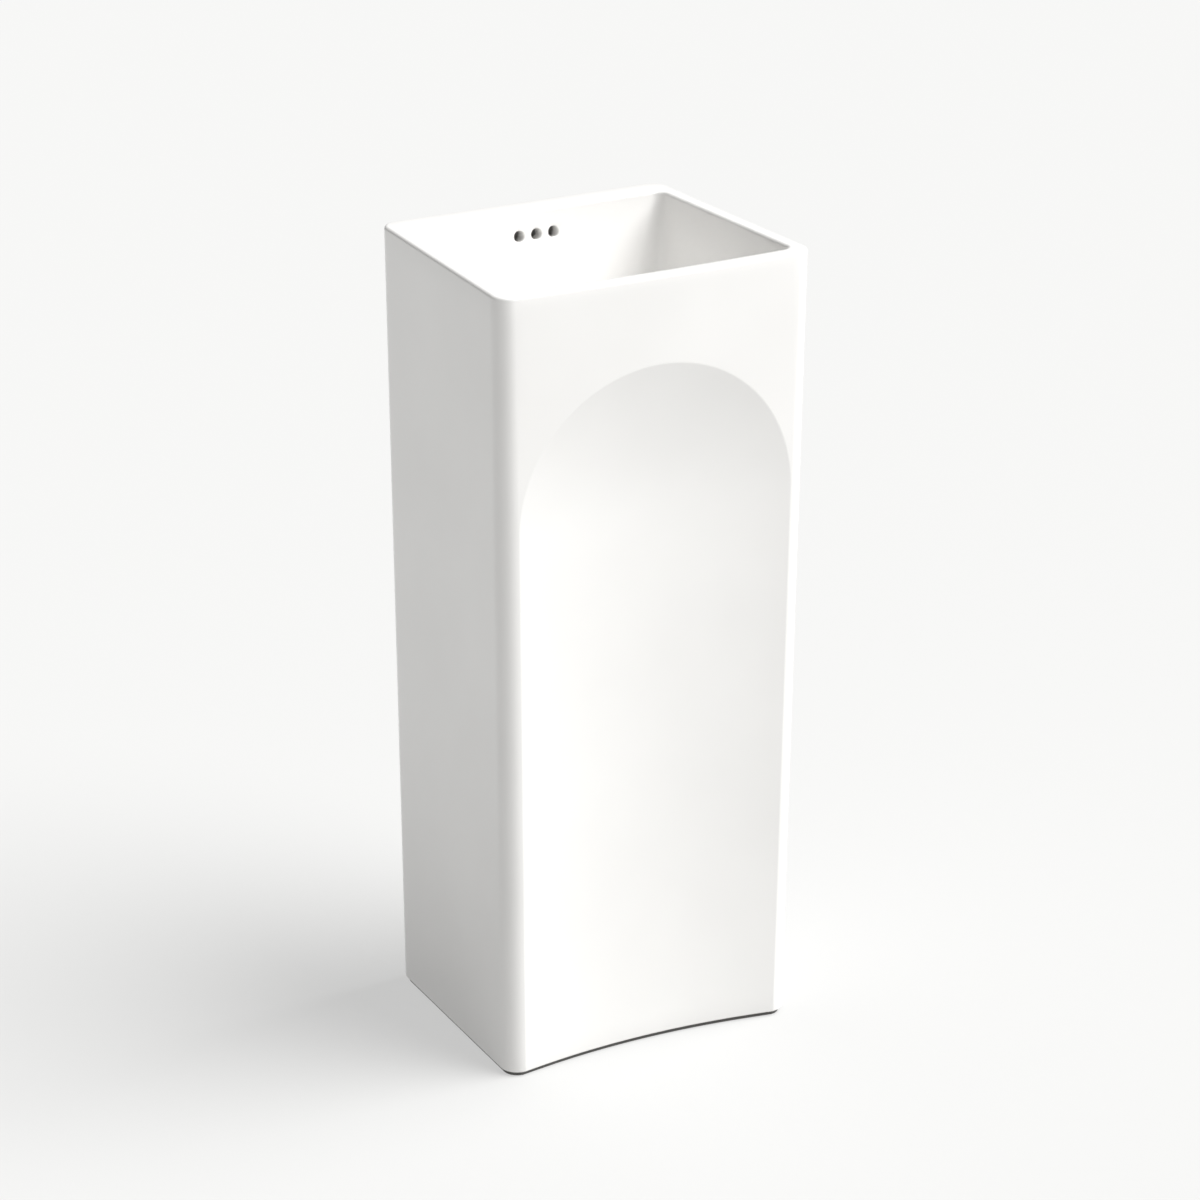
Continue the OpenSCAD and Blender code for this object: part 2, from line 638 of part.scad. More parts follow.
module trap_cup() color("#f0efec") at_drain(0) difference() {
  union() {
    translate([0, 0, cup_low + cup_foot_h]) cylinder(r = cup_r, h = cup_h - cup_foot_h);
    translate([0, 0, cup_low]) cylinder(r1 = cup_r - cup_foot_in, r2 = cup_r, h = cup_foot_h);
    // Finger ribs
    for (a = [0:24:336]) rotate([0, 0, a]) translate([cup_r - 0.6, 0, cup_low + cup_foot_h + 2])
      cylinder(r = 2, h = cup_h - cup_foot_h - 16);
  }
  translate([0, 0, ledge_z]) cylinder(r = skirt_r + cup_fit, h = cup_h);
  translate([0, 0, cup_low + cup_floor_t]) cylinder(r = skirt_r - skirt_wall, h = cup_h);
}

// ---- Outlet: side spigot, bend and pipe to the floor ----
bend_start = outlet_reach - bend_r;
module at_outlet(x) { translate([x, drain_y, outlet_z]) rotate([0, 90, 0]) children(); }
module trap_outlet_washer() color("#3b3b3c") at_outlet(spigot_x)
  tube(neck_r - cone_in, pipe_r + thread_gap, outlet_washer_h);
module trap_outlet_nut() color("#f0efec") at_outlet(spigot_x + outlet_washer_h + nut_lip)
  mirror([0, 0, 1]) grip_nut(neck_r, cap_nut_h);
socket_h = 34;
socket_r = pipe_r + 4.5;
socket_roof_t = 4;                      // stop at the top of the socket
bend_seal_t = 3;
bend_seal_h = 7;
bend_seal_up = 5;                       // height of the seal's groove above the socket's mouth
bend_end = outlet_z - bend_r;
module outlet_bend() color("#e9e8e4") {
  at_outlet(spigot_x - stub_h) tube(pipe_r, pipe_r - pipe_wall, bend_start - spigot_x + stub_h);
  translate([bend_start, drain_y, bend_end]) rotate([90, 0, 0]) rotate_extrude(angle = 90)
    translate([bend_r, 0]) difference() { circle(r = pipe_r); circle(r = pipe_r - pipe_wall); }
  translate([outlet_reach, drain_y, bend_end]) difference() {
    translate([0, 0, -socket_h]) cylinder(r = socket_r, h = socket_h);
    translate([0, 0, -socket_h - over])
      cylinder(r = pipe_r + socket_fit, h = socket_h - socket_roof_t + over);
    translate([0, 0, -socket_roof_t - 2])
      cylinder(r = pipe_r - pipe_wall, h = socket_roof_t + 2 + over);
    translate([0, 0, -socket_h + bend_seal_up]) cylinder(r = pipe_r + bend_seal_t, h = bend_seal_h);
  }
}
module bend_seal() color("#3b3b3c")
  translate([outlet_reach, drain_y, bend_end - socket_h + bend_seal_up])
    tube(pipe_r + bend_seal_t, pipe_r + thread_gap, bend_seal_h);
spigot_h = 40;                          // length that goes into the floor socket, up to the stop ring
stop_ring_h = 4;
module floor_pipe() color("#dcdbd6") translate([outlet_reach, drain_y, 0]) difference() {
  union() {
    cylinder(r = pipe_r, h = bend_end - socket_roof_t - 0.5);
    translate([0, 0, spigot_h]) cylinder(r = pipe_r + 3, h = stop_ring_h);
  }
  translate([0, 0, -over]) cylinder(r = pipe_r - pipe_wall, h = bend_end + over);
}

// ---- Floor brackets and the bolts through the back wall ----
bush_flange_t = 2;
tab_y = bolt_inner_y - bush_flange_t - bracket_t;   // front of the bracket's upright
anchor_y = tab_y - foot_length / 2;
module floor_bracket(side) {
  translate([side * bracket_pitch / 2, 0, 0]) difference() {
    union() {
      translate([-bracket_w / 2, tab_y - foot_length, 0])
        cube([bracket_w, foot_length + bracket_t, bracket_t]);
      translate([-bracket_w / 2, tab_y, 0]) cube([bracket_w, bracket_t, bracket_h]);
    }
    translate([0, anchor_y, -over]) cylinder(d = anchor_hole_d, h = bracket_t + 2 * over);
    translate([0, tab_y - over, bolt_z]) rotate([-90, 0, 0])
      cylinder(d = bolt_d + 0.6, h = bracket_t + 2 * over);
  }
}
module floor_bracket_left() color("#a9acae") floor_bracket(-1);
module floor_bracket_right() color("#a9acae") floor_bracket(1);
nut_t = 6.5;
bolt_end = 3;                           // bolt that shows past its nut
bolt_head_t = 3;
bolt_head_r = bolt_d * 0.8;
module bracket_nuts() color("#b4b6b8") at_bolts() translate([0, tab_y - nut_t, 0]) rotate([-90, 0, 0])
  difference() {
    cylinder(r = bolt_d * 0.93, h = nut_t, $fn = 6);
    translate([0, 0, -over]) cylinder(d = bolt_d, h = nut_t + 2 * over);
  }
module bolt_bushes() color("#e6e3da") at_bolts() translate([0, bolt_inner_y - bush_flange_t, 0])
  rotate([-90, 0, 0]) difference() {
    union() {
      cylinder(r = bush_r + 3, h = bush_flange_t - 0.2);
      cylinder(r = bush_r, h = bolt_face_y - bolt_inner_y + bush_flange_t + 1);
    }
    translate([0, 0, -over]) cylinder(r = bolt_d / 2 + 0.2, h = back_wall + 5 * over);
  }
bolt_head_y = bolt_face_y + 1;
bolt_tip_y = tab_y - nut_t - bolt_end;
module back_bolts() color("#b4b6b8") at_bolts() translate([0, bolt_tip_y, 0]) rotate([-90, 0, 0]) {
  cylinder(d = bolt_d, h = bolt_head_y - bolt_tip_y + 1);
  translate([0, 0, bolt_head_y - bolt_tip_y]) cylinder(r = bolt_head_r, h = bolt_head_t);
}
module bolt_caps() color("#f1f0ee") at_bolts() translate([0, bolt_face_y + 0.4, 0]) rotate([-90, 0, 0])
  difference() {
    cylinder(r1 = bolt_d + 3.5, r2 = bolt_d + 2, h = bolt_head_t + 2.6);
    translate([0, 0, -over]) cylinder(r = bolt_head_r + 0.3, h = bolt_head_t + 1.2 + over);
  }

ceramic_body();
base_gasket();
access_cover();
cover_screws();
cover_inserts();
waste_flange();
flange_seal();
plug_cap();
plug_seal();
stem_clip();
plug_cartridge();
plug_spring();
under_washer();
slip_washer();
waste_backnut();
trap_inlet_nut();
trap_inlet_washer();
trap_dip_tube();
trap_top_nut();
trap_top_washer();
trap_body();
trap_cup();
trap_cup_seal();
trap_outlet_nut();
trap_outlet_washer();
outlet_bend();
bend_seal();
floor_pipe();
floor_bracket_left();
floor_bracket_right();
bracket_nuts();
back_bolts();
bolt_bushes();
bolt_caps();
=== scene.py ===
import json
import math

import bmesh
import bpy
from mathutils import Matrix, Vector


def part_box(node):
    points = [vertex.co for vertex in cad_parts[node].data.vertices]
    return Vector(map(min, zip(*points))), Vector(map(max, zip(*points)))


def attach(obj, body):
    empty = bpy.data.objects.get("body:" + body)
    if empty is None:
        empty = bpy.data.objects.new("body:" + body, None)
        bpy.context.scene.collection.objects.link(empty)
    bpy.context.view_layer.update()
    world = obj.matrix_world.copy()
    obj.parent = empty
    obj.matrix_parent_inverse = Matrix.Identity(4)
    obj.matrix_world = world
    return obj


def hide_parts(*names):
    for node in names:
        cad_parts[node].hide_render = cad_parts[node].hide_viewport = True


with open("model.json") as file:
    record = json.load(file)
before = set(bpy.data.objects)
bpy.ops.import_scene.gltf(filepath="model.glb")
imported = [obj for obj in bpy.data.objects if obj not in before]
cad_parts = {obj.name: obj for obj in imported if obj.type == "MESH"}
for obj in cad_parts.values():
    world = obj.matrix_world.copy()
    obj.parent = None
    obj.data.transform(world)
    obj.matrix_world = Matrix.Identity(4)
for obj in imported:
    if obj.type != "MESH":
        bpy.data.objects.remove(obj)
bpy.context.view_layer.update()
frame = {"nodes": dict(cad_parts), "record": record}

MM = 0.001
nodes = frame["nodes"]

# ---------------------------------------------------------------- sizes, in millimetres
# The casting's box, its gasket and its waste come from the frame.
cast_low, cast_high = [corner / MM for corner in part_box("ceramic_body")]
gasket_low, gasket_high = [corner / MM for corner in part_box("base_gasket")]
flange_low, flange_high = [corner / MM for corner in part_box("waste_flange")]

RIM_Z = cast_high.z
BASE_Z = cast_low.z
DRAIN_Y = (flange_low.y + flange_high.y) / 2

# Plan outlines at the rim and at the base: half front, half back, front y, back y, corner radius
CORNER_R = 18.0
FRONT_BOW = 4.5
RIM_PLAN = (180.5, 164.0, -144.0, 148.5, CORNER_R)
BASE_PLAN = (169.5, 154.0, -137.0, 141.5, CORNER_R)
WALL = 14.0
BACK_WALL = 22.0

# Scoop in the front, under its arch
SCOOP_DEPTH = 18.5
ARCH_MARGIN = 20.0
ARCH_DROP = 93.0

# Bowl
RIM_T = 16.5
RIM_BACK_T = 33.0
RIM_ROUND = 4.0
BOWL_DEPTH = 130.0
BOWL_LEAN = 12.0
BOWL_CORNER_R = 11.0
BOWL_FILLET = 26.0
FLOOR_FALL = 6.0
DOUBLE_FLOOR = 36.0
RECESS_R = 33.5
RECESS_DEPTH = 3.0
DRAIN_R = 22.95
BASE_ROUND = 2.0

# Overflow
OVERFLOW_R = 6.0
OVERFLOW_PITCH = 20.0
OVERFLOW_DROP = 26.0
OVERFLOW_FLARE = 1.2
CHANNEL_W = 64.0
CHANNEL_T = 11.0
CHANNEL_H = 10.0

# Service opening and bolt holes in the back
SERVICE_W, SERVICE_H, SERVICE_Z = 190.0, 420.0, 150.0
COVER_LAND, COVER_T, COVER_GAP, COVER_CORNER_R = 18.0, 5.0, 1.0, 22.0
INSERT_R = 4.0
BOLT_PITCH, BOLT_Z, BOLT_HOLE_R = 190.0, 58.0, 6.8

# How finely the casting is drawn
ARCH_SIDE_CELLS = 20      # spokes of the arch that end on one side edge
FRONT_CELLS = 60          # cells across the front, at the rim and at the base
SHAFT_ROWS = 30           # rows below the spring line
SCOOP_RINGS = 14
FACE_RINGS = 10
CORNER_CELLS = 8
LIP = 1.2                 # half width of the scoop's softened edge

BOWL_FLOOR = RIM_Z - BOWL_DEPTH
HOLLOW_TOP = BOWL_FLOOR - DOUBLE_FLOOR


# ---------------------------------------------------------------- the casting's surfaces
def mix(a, b, t):
    return a + (b - a) * t


def outer(z):
    t = (z - BASE_Z) / (RIM_Z - BASE_Z)
    return tuple(mix(a, b, t) for a, b in zip(BASE_PLAN, RIM_PLAN))


def side_lean(plan):
    return math.atan2(plan[0] - plan[1], plan[3] - plan[2])


def inset(plan, i):
    lean = side_lean(plan)
    return (plan[0] - i * (1 + math.sin(lean)) / math.cos(lean),
            plan[1] - i * (1 - math.sin(lean)) / math.cos(lean),
            plan[2] + i, plan[3] - i, max(plan[4] - i, 2.0))


def moved_edges(plan, front, back, radius):
    """The same side lines, cut by another front and back, with another corner radius."""
    half = lambda y: mix(plan[0], plan[1], (y - plan[2]) / (plan[3] - plan[2]))
    return (half(front), half(back), front, back, radius)


def hollow(z):
    shell = outer(z)
    return moved_edges(inset(shell, WALL), shell[2] + SCOOP_DEPTH + WALL,
                       shell[3] - BACK_WALL, CORNER_R)


BOWL_TOP = moved_edges(inset(RIM_PLAN, RIM_T), RIM_PLAN[2] + RIM_T,
                       RIM_PLAN[3] - RIM_BACK_T, BOWL_CORNER_R)
BOWL_LOW = inset(BOWL_TOP, BOWL_LEAN)[:4] + (BOWL_FILLET,)


def corner_start(plan):
    """Half the flat front: where the front corners begin."""
    lean = side_lean(plan)
    return plan[0] - plan[4] * (1 + math.sin(lean)) / math.cos(lean)


def half_at(z):
    return outer(z)[0]


FLARE = (RIM_PLAN[0] - BASE_PLAN[0]) / (RIM_Z - BASE_Z)
ARCH_TOP = RIM_Z - ARCH_DROP
ARCH_R = (BASE_PLAN[0] - ARCH_MARGIN + FLARE * (ARCH_TOP - BASE_Z)) / (1 + FLARE)
SPRING_Z = ARCH_TOP - ARCH_R


def scoop_half(z):
    return half_at(z) - ARCH_MARGIN


def bow_at(x, half, bow=FRONT_BOW):
    return bow * (1 - (x / half) ** 2)


def face_y(x, z):
    return outer(z)[2] - bow_at(x, half_at(z))


def scoop_y(x, z):
    reach = math.hypot(x, z - SPRING_Z) / ARCH_R if z > SPRING_Z else abs(x) / scoop_half(z)
    return face_y(x, z) + SCOOP_DEPTH * (1 - min(reach, 1.0) ** 2)


def strip_stops(length):
    """Fractions across a strip of face, from the scoop's lip outwards, the first cell narrow."""
    near = min(LIP / length, 0.5)
    return [0.0] + [mix(near, 1, i / FACE_RINGS) for i in range(FACE_RINGS + 1)]


def spread(cells, edge):
    """Fractions 0 to 1 in equal cells, with one narrow cell at each end."""
    inner = [mix(edge, 1 - edge, i / (cells - 2)) for i in range(cells - 1)]
    return [0.0] + inner + [1.0]


SIDE_STOPS = spread(12, 0.012)
BACK_STOPS = spread(16, 0.01)


def arc(cx, cy, r, start, end):
    return [(cx + r * math.cos(a), cy + r * math.sin(a))
            for a in (mix(start, end, i / CORNER_CELLS) for i in range(CORNER_CELLS + 1))]


def chain(plan, bow):
    """Plan points from the right end of the flat front, round the back, to its left end."""
    lean, r = side_lean(plan), plan[4]
    fx, fy = corner_start(plan), plan[2] + r
    bx, by = plan[1] - r * (1 - math.sin(lean)) / math.cos(lean), plan[3] - r
    quarter = math.pi / 2
    right = arc(fx, fy, r, -quarter, lean)
    back_right = arc(bx, by, r, lean, quarter)
    back_left = arc(-bx, by, r, quarter, math.pi - lean)
    left = arc(-fx, fy, r, math.pi - lean, 3 * quarter)

    def between(a, b, stops):
        return [(mix(a[0], b[0], t), mix(a[1], b[1], t)) for t in stops[1:-1]]

    points = (right + between(right[-1], back_right[0], SIDE_STOPS) + back_right
              + between(back_right[-1], back_left[0], BACK_STOPS) + back_left
              + between(back_left[-1], left[0], SIDE_STOPS) + left)
    return [(x, y - (bow_at(x, plan[0], bow) if y < fy else 0)) for x, y in points]


# ---------------------------------------------------------------- finishes
def linear(hex_colour):
    """An sRGB hex value as the linear colour that a shader takes."""
    parts = [int(hex_colour[i:i + 2], 16) / 255 for i in (1, 3, 5)]
    return [c / 12.92 if c <= 0.04045 else ((c + 0.055) / 1.055) ** 2.4 for c in parts] + [1.0]


def per(millimetres):
    """The texture scale that repeats once in this length."""
    return 1 / (millimetres * MM)


def add(tree, kind, inputs=None, **settings):
    """Adds a shader node; each input is a value, or the socket that feeds it."""
    node = tree.nodes.new("ShaderNode" + kind)
    for name, value in settings.items():
        setattr(node, name, value)
    for name, value in (inputs or {}).items():
        socket = node.inputs[name]
        if isinstance(value, bpy.types.NodeSocket):
            tree.links.new(value, socket)
        else:
            socket.default_value = value
    return node


def finish(name, build):
    """A material whose shader settings come from build(tree, place), place being Object coordinates."""
    material = bpy.data.materials.new(name)
    material.use_nodes = True
    tree = material.node_tree
    tree.nodes.clear()
    place = add(tree, "TexCoord").outputs["Object"]
    shader = add(tree, "BsdfPrincipled", build(tree, place))
    add(tree, "OutputMaterial", {"Surface": shader.outputs["BSDF"]})
    return material


def two_tone(tree, amount, dark, light, low=0.3, high=0.7):
    """Runs from a dark to a light colour as amount rises."""
    ramp = add(tree, "ValToRGB", {"Fac": amount})
    ramp.color_ramp.elements[0].position, ramp.color_ramp.elements[1].position = low, high
    ramp.color_ramp.elements[0].color = linear(dark)
    ramp.color_ramp.elements[1].color = linear(light)
    return ramp.outputs["Color"]


def band(tree, amount, low, high):
    """Spreads a 0 to 1 pattern over a narrower range, for roughness."""
    return add(tree, "MapRange", {"Value": amount, "To Min": low, "To Max": high}).outputs["Result"]


def relief(tree, height, millimetres, under=None):
    inputs = {"Height": height, "Strength": 1.0, "Distance": millimetres * MM}
    if under:
        inputs["Normal"] = under
    return add(tree, "Bump", inputs).outputs["Normal"]


def noise(tree, place, size, detail=2.0, roughness=0.5):
    """Soft blotches about one size across, in millimetres."""
    return add(tree, "TexNoise", {"Vector": place, "Scale": per(size), "Detail": detail,
                                  "Roughness": roughness}).outputs["Fac"]


def stretched(tree, place, scale):
    """Object coordinates squeezed so that a noise runs out into streaks."""
    return add(tree, "Mapping", {"Vector": place, "Scale": scale}).outputs["Vector"]


def glazed_fireclay(tree, place):
    # Sprayed and fired white glaze: a glassy coat that pulls a little thin and rides in long soft waves
    waves = relief(tree, noise(tree, place, 70), 0.10)
    skin = relief(tree, noise(tree, place, 5, 1.0), 0.006, waves)
    cloud = noise(tree, place, 160)
    return {"Base Color": two_tone(tree, cloud, "#EFEEEC", "#F3F2F0"),
            "Roughness": band(tree, noise(tree, place, 45), 0.27, 0.33),
            "IOR": 1.5, "Normal": skin,
            "Coat Weight": 0.55, "Coat Roughness": 0.12, "Coat IOR": 1.5, "Coat Normal": waves}


def overflow_painted_shade():
    # Painted shade: near-black colour inside the overflow holes and channel, standing in for the shade deep in
    # them; the grog noise adds bump grain and a slight tone change
    def clay(tree, place):
        grog = noise(tree, place, 1.4, 4.0, 0.7)
        return {"Base Color": two_tone(tree, grog, "#0B0B0B", "#161514"), "Roughness": 0.9,
                "Specular IOR Level": 0.1, "Normal": relief(tree, grog, 0.15)}
    return finish("overflow_painted_shade", clay)


def silicone_gasket(tree, place):
    # Extruded grey rubber strip with a dusty matt skin
    grain = noise(tree, place, 1.2, 3.0, 0.6)
    return {"Base Color": two_tone(tree, grain, "#5E5D5B", "#6B6A67"), "Roughness": 0.72,
            "Specular IOR Level": 0.35, "Normal": relief(tree, grain, 0.05)}


def moulded_abs(tree, place):
    # White ABS from a spark-eroded mould: fine even grain, soft sheen
    grain = noise(tree, place, 1.1, 3.0, 0.65)
    return {"Base Color": two_tone(tree, noise(tree, place, 90), "#EDECE8", "#F1F0ED"),
            "Roughness": band(tree, grain, 0.34, 0.46), "IOR": 1.53,
            "Normal": relief(tree, grain, 0.03)}


def drawn_stainless(tree, place):
    # Cold-headed and drawn stainless: bright, with fine streaks along the wire
    streaks = noise(tree, stretched(tree, place, (1, 1, 0.08)), 0.5, 3.0)
    return {"Base Color": two_tone(tree, streaks, "#BEBFC0", "#D2D3D4"), "Metallic": 1.0,
            "Roughness": band(tree, streaks, 0.22, 0.36), "Normal": relief(tree, streaks, 0.006)}


def zinc_plate(tree, place):
    # Pressed steel with bright zinc plating: grey-blue spangle and slight clouding
    spangle = add(tree, "TexVoronoi", {"Vector": place, "Scale": per(4)}).outputs["Distance"]
    cloud = noise(tree, place, 12, 3.0, 0.6)
    return {"Base Color": two_tone(tree, cloud, "#9DA2A6", "#B9BEC1"), "Metallic": 1.0,
            "Roughness": band(tree, spangle, 0.34, 0.5), "Normal": relief(tree, cloud, 0.02)}


def natural_nylon(tree, place):
    # Injection-moulded nylon: cream, waxy, faintly cloudy
    cloud = noise(tree, place, 6, 2.0)
    return {"Base Color": two_tone(tree, cloud, "#DCD7C8", "#E8E4D8"), "Roughness": 0.42,
            "Subsurface Weight": 0.15, "Subsurface Radius": (0.002, 0.0018, 0.0014),
            "Subsurface Scale": 1.0, "Normal": relief(tree, cloud, 0.02)}


def polished_chrome(tree, place):
    # Buffed brass under bright chrome: mirror with hair-fine wiping marks and a few dried water spots
    wiping = noise(tree, stretched(tree, place, (1, 6, 1)), 2.0, 3.0)
    spots = add(tree, "TexVoronoi", {"Vector": place, "Scale": per(7)}).outputs["Distance"]
    dried = add(tree, "MapRange", {"Value": spots, "From Min": 0.10, "From Max": 0.16,
                                   "To Min": 0.22, "To Max": 0.0}).outputs["Result"]
    rough = add(tree, "Math", {0: band(tree, wiping, 0.05, 0.09), 1: dried}, operation="ADD")
    return {"Base Color": two_tone(tree, wiping, "#D3D5D7", "#DDDFE0"), "Metallic": 1.0,
            "Roughness": rough.outputs["Value"]}


def turned_brass(tree, place):
    # Lathe-turned brass: yellow, with fine rings from the tool
    rings = add(tree, "TexWave", {"Vector": place, "Scale": per(1.6), "Distortion": 0.4},
                wave_type="BANDS", bands_direction="Z").outputs["Fac"]
    return {"Base Color": two_tone(tree, noise(tree, place, 8), "#B8934A", "#CDAA63"), "Metallic": 1.0,
            "Roughness": 0.3, "Normal": relief(tree, rings, 0.01)}


def black_rubber(tree, place):
    # Moulded nitrile rubber with a talc bloom
    bloom = noise(tree, place, 2.5, 3.0, 0.6)
    return {"Base Color": two_tone(tree, bloom, "#1D1D1E", "#2B2B2C"), "Roughness": 0.66,
            "Specular IOR Level": 0.4, "Normal": relief(tree, bloom, 0.03)}


def moulded_polypropylene(tree, place):
    # White polypropylene: waxy, slightly translucent, with flow clouds from the mould
    cloud = noise(tree, place, 14, 2.0)
    return {"Base Color": two_tone(tree, cloud, "#E4E3DE", "#EEEDE9"),
            "Roughness": band(tree, cloud, 0.36, 0.48), "Subsurface Weight": 0.1,
            "Subsurface Radius": (0.003, 0.003, 0.0026), "Subsurface Scale": 1.0,
            "Normal": relief(tree, noise(tree, place, 0.9, 2.0), 0.01)}


def extruded_polypropylene(tree, place):
    # Grey waste pipe: die lines run along its length
    lines = noise(tree, stretched(tree, place, (1, 1, 0.02)), 1.5, 3.0)
    return {"Base Color": two_tone(tree, lines, "#A9A8A4", "#B6B5B1"), "Roughness": 0.44,
            "Normal": relief(tree, lines, 0.02)}


MAKERS = {
    "glazed_fireclay": glazed_fireclay, "grey_rubber": silicone_gasket, "white_abs": moulded_abs,
    "stainless_steel": drawn_stainless, "zinc_plated_steel": zinc_plate, "nylon": natural_nylon,
    "chromed_brass": polished_chrome, "raw_brass": turned_brass, "black_rubber": black_rubber,
    "white_polypropylene": moulded_polypropylene, "grey_polypropylene": extruded_polypropylene,
}
FINISHES = {slot: finish(slot, maker) for slot, maker in MAKERS.items()}


# ---------------------------------------------------------------- mesh tools
def patch(bm, us, vs, place):
    """A grid with its columns at us and rows at vs, each vertex moved to place(u, v)."""
    made = bmesh.ops.create_grid(bm, x_segments=len(us) - 1, y_segments=len(vs) - 1, size=0.5)
    for vert in made["verts"]:
        u = us[round((vert.co.x + 0.5) * (len(us) - 1))]
        v = vs[round((vert.co.y + 0.5) * (len(vs) - 1))]
        vert.co = Vector(place(u, v)) * MM


def mark_sharp(bm, degrees):
    """Smooth shading, with the edges that turn more than this left crisp."""
    for face in bm.faces:
        face.smooth = True
    for edge in bm.edges:
        if len(edge.link_faces) == 2:
            edge.smooth = edge.calc_face_angle(0) < math.radians(degrees)


def finished(bm, name, degrees=30):
    """Turns the bmesh into an object at the origin."""
    mark_sharp(bm, degrees)
    mesh = bpy.data.meshes.new(name)
    bm.to_mesh(mesh)
    bm.free()
    obj = bpy.data.objects.new(name, mesh)
    bpy.context.scene.collection.objects.link(obj)
    return obj


def cut(obj, cutter):
    """Cuts a closed piece out of another, keeps the result as plain mesh and removes the cutter."""
    cutting = obj.modifiers.new("cut", "BOOLEAN")
    cutting.operation, cutting.solver, cutting.object = "DIFFERENCE", "EXACT", cutter
    whole = obj.data
    evaluated = obj.evaluated_get(bpy.context.evaluated_depsgraph_get())
    obj.data = bpy.data.meshes.new_from_object(evaluated)
    obj.modifiers.clear()
    bpy.data.meshes.remove(whole)
    tool = cutter.data
    bpy.data.objects.remove(cutter)
    bpy.data.meshes.remove(tool)


def block(bm, low, high):
    """A box between two corners."""
    made = bmesh.ops.create_cube(bm, size=1.0)
    for vert in made["verts"]:
        vert.co = Vector(high[i] if vert.co[i] > 0 else low[i] for i in range(3)) * MM


def turned(bm, profile, steps=64):
    """Spins (radius, height) points about Z into a closed turning."""
    line = [bm.verts.new(Vector((r, 0, z)) * MM) for r, z in profile]
    edges = [bm.edges.new(pair) for pair in zip(line, line[1:])]
    bmesh.ops.spin(bm, geom=line + edges, angle=2 * math.pi, steps=steps, axis=(0, 0, 1),
                   cent=(0, 0, 0), use_merge=True)
    bmesh.ops.remove_doubles(bm, verts=bm.verts, dist=0.002 * MM)
    bmesh.ops.recalc_face_normals(bm, faces=bm.faces)


def plate(bm, width, height, radius, depth):
    """An upright plate with round corners, centred on the origin in x and z, from y -depth to 0."""
    per_corner = CORNER_CELLS + 1
    made = bmesh.ops.create_circle(bm, cap_ends=True, segments=4 * per_corner, radius=1)
    for k, vert in enumerate(made["verts"]):
        corner, step = divmod(k, per_corner)
        a = math.pi / 2 * (corner + step / CORNER_CELLS)
        sx, sz = (1, -1, -1, 1)[corner], (1, 1, -1, -1)[corner]
        vert.co = Vector((sx * (width / 2 - radius) + radius * math.cos(a), 0,
                          sz * (height / 2 - radius) + radius * math.sin(a))) * MM
    grown = bmesh.ops.extrude_face_region(bm, geom=bm.faces[:])
    moved = [part for part in grown["geom"] if isinstance(part, bmesh.types.BMVert)]
    bmesh.ops.translate(bm, verts=moved, vec=(0, -depth * MM, 0))
    bmesh.ops.recalc_face_normals(bm, faces=bm.faces)


def placed(bm, matrix, place):
    """Turns and then moves everything in the bmesh; place is in millimetres."""
    bmesh.ops.transform(bm, verts=bm.verts, matrix=Matrix.Translation(Vector(place) * MM) @ matrix)
    return bm


